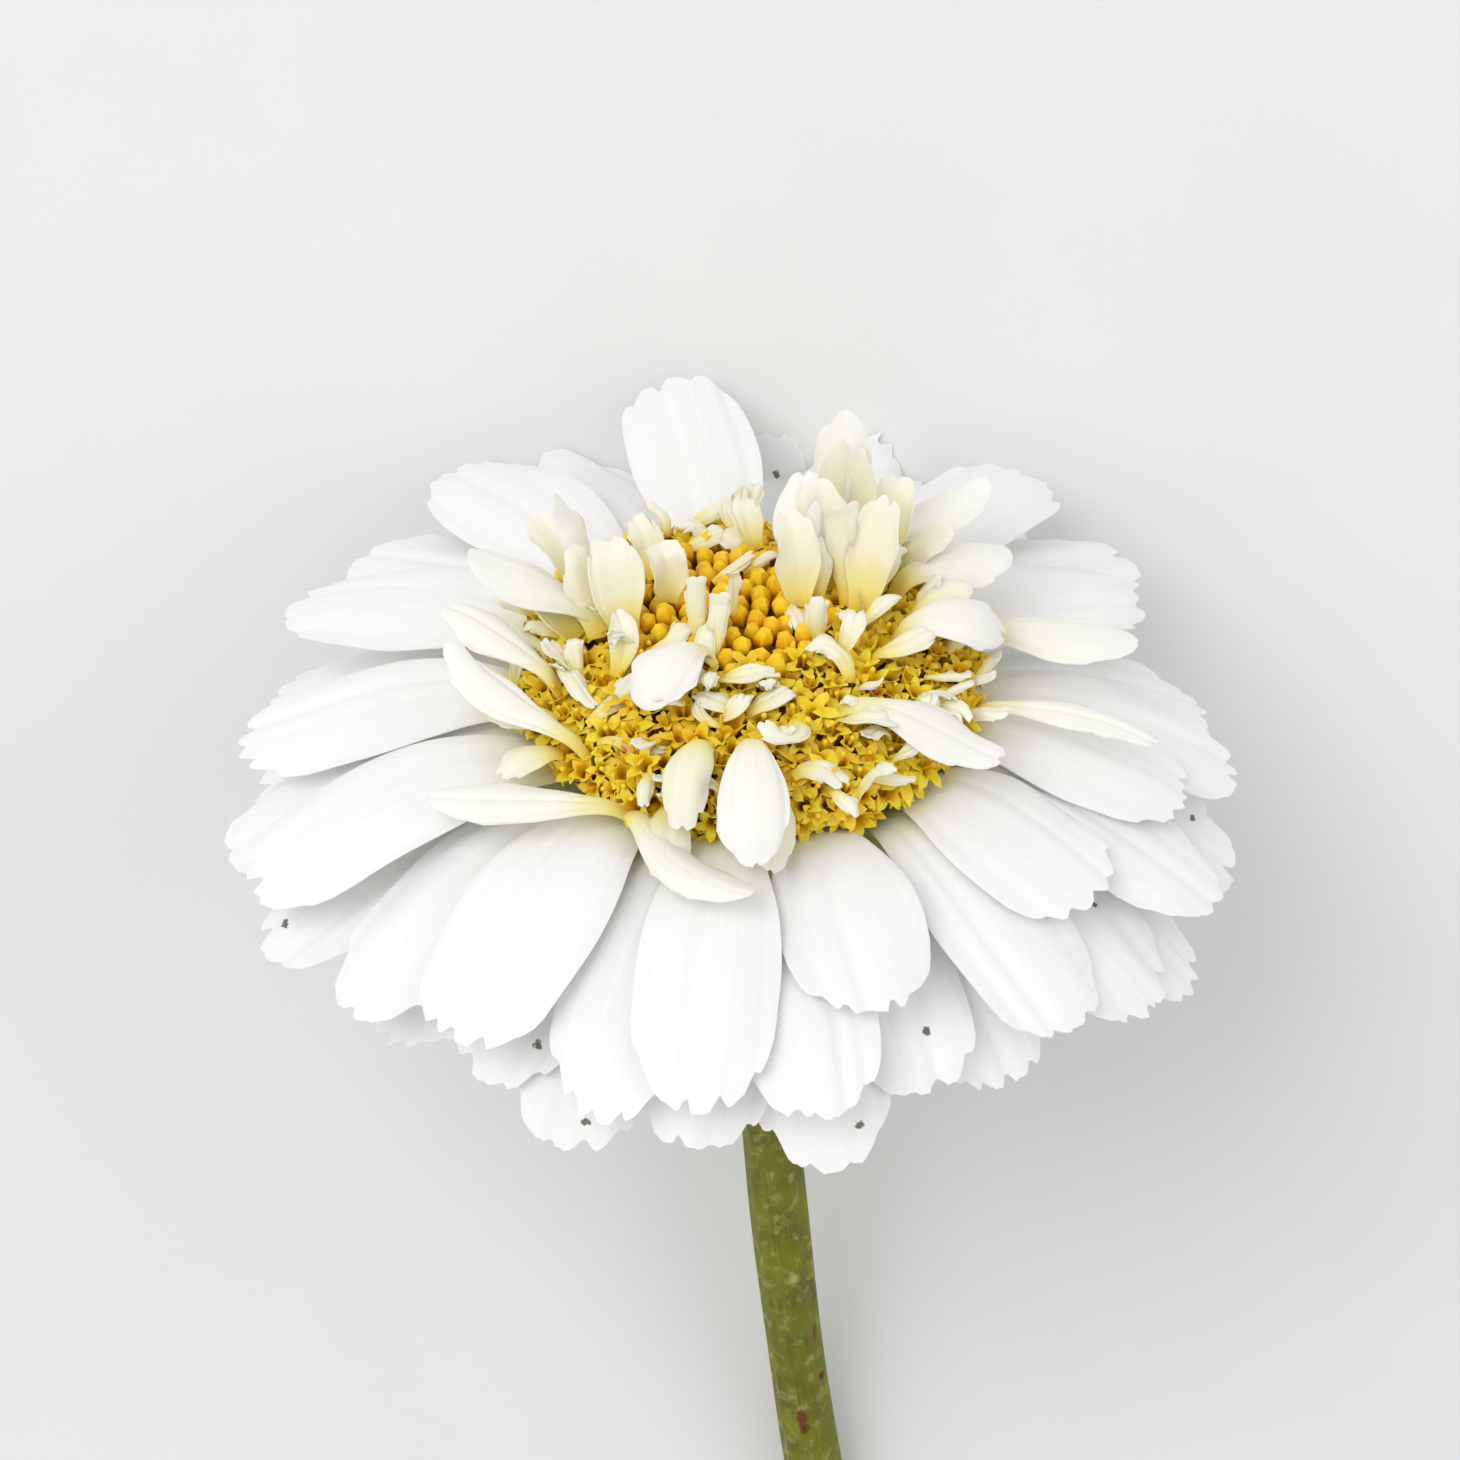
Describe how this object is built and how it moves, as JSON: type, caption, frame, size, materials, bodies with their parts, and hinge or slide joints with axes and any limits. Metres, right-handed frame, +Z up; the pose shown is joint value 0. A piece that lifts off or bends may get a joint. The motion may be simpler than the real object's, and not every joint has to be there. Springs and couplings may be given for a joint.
{
  "type": "double white chamomile-type daisy, cut flower lying down",
  "caption": "Cut double white daisy flower with layered toothed rays, curled inner petals, a domed yellow disc and a short green stem, lying on its side.",
  "frame": {"origin": "the middle of the bounding box's bottom, on the surface the flower lies on", "axes": "+Z up from that surface, +Y the way the flower's face looks, the stem running back along -Y, +X to the right of someone who looks along +Y"},
  "size_m": [0.0746, 0.1024, 0.0623],
  "materials": {
    "ray_white": "thin soft white petal, matt with a faint sheen, pleated lengthwise, pale green-grey at its root",
    "inner_petal_cream": "thin cream-white petal, matt with a faint sheen, yellow at its root",
    "disc_yellow": "packed golden-yellow tubular florets, waxy and matt",
    "bract_green": "overlapping green bracts with thin brown papery edges, matt",
    "stem_green": "olive-green ribbed stem with paler flecks and a few brown spots, satin"
  },
  "bodies": {
    "root": {"disc_florets": "disc_yellow", "inner_petal_01": "inner_petal_cream", "inner_petal_02": "inner_petal_cream", "inner_petal_03": "inner_petal_cream", "inner_petal_04": "inner_petal_cream", "inner_petal_05": "inner_petal_cream", "inner_petal_06": "inner_petal_cream", "inner_petal_07": "inner_petal_cream", "inner_petal_08": "inner_petal_cream", "inner_petal_09": "inner_petal_cream", "inner_petal_10": "inner_petal_cream", "inner_petal_11": "inner_petal_cream", "inner_petal_12": "inner_petal_cream", "inner_petal_13": "inner_petal_cream", "inner_petal_14": "inner_petal_cream", "inner_petal_15": "inner_petal_cream", "inner_petal_16": "inner_petal_cream", "involucre": "bract_green", "ray_lower_01": "ray_white", "ray_lower_02": "ray_white", "ray_lower_03": "ray_white", "ray_lower_04": "ray_white", "ray_lower_05": "ray_white", "ray_lower_06": "ray_white", "ray_lower_07": "ray_white", "ray_second_01": "ray_white", "ray_second_02": "ray_white", "ray_second_03": "ray_white", "ray_second_04": "ray_white", "ray_second_05": "ray_white", "ray_second_06": "ray_white", "ray_second_07": "ray_white", "ray_second_08": "ray_white", "ray_second_09": "ray_white", "ray_second_10": "ray_white", "ray_second_11": "ray_white", "ray_third_01": "ray_white", "ray_third_02": "ray_white", "ray_third_03": "ray_white", "ray_third_04": "ray_white", "ray_third_05": "ray_white", "ray_third_06": "ray_white", "ray_third_07": "ray_white", "ray_third_08": "ray_white", "ray_third_09": "ray_white", "ray_third_10": "ray_white", "ray_upper_01": "ray_white", "ray_upper_02": "ray_white", "ray_upper_03": "ray_white", "ray_upper_04": "ray_white", "ray_upper_05": "ray_white", "ray_upper_06": "ray_white", "ray_upper_07": "ray_white", "ray_upper_08": "ray_white", "ray_upper_09": "ray_white", "ray_upper_10": "ray_white", "ray_upper_11": "ray_white", "ray_upper_12": "ray_white", "stem": "stem_green"}
  },
  "joints": []
}
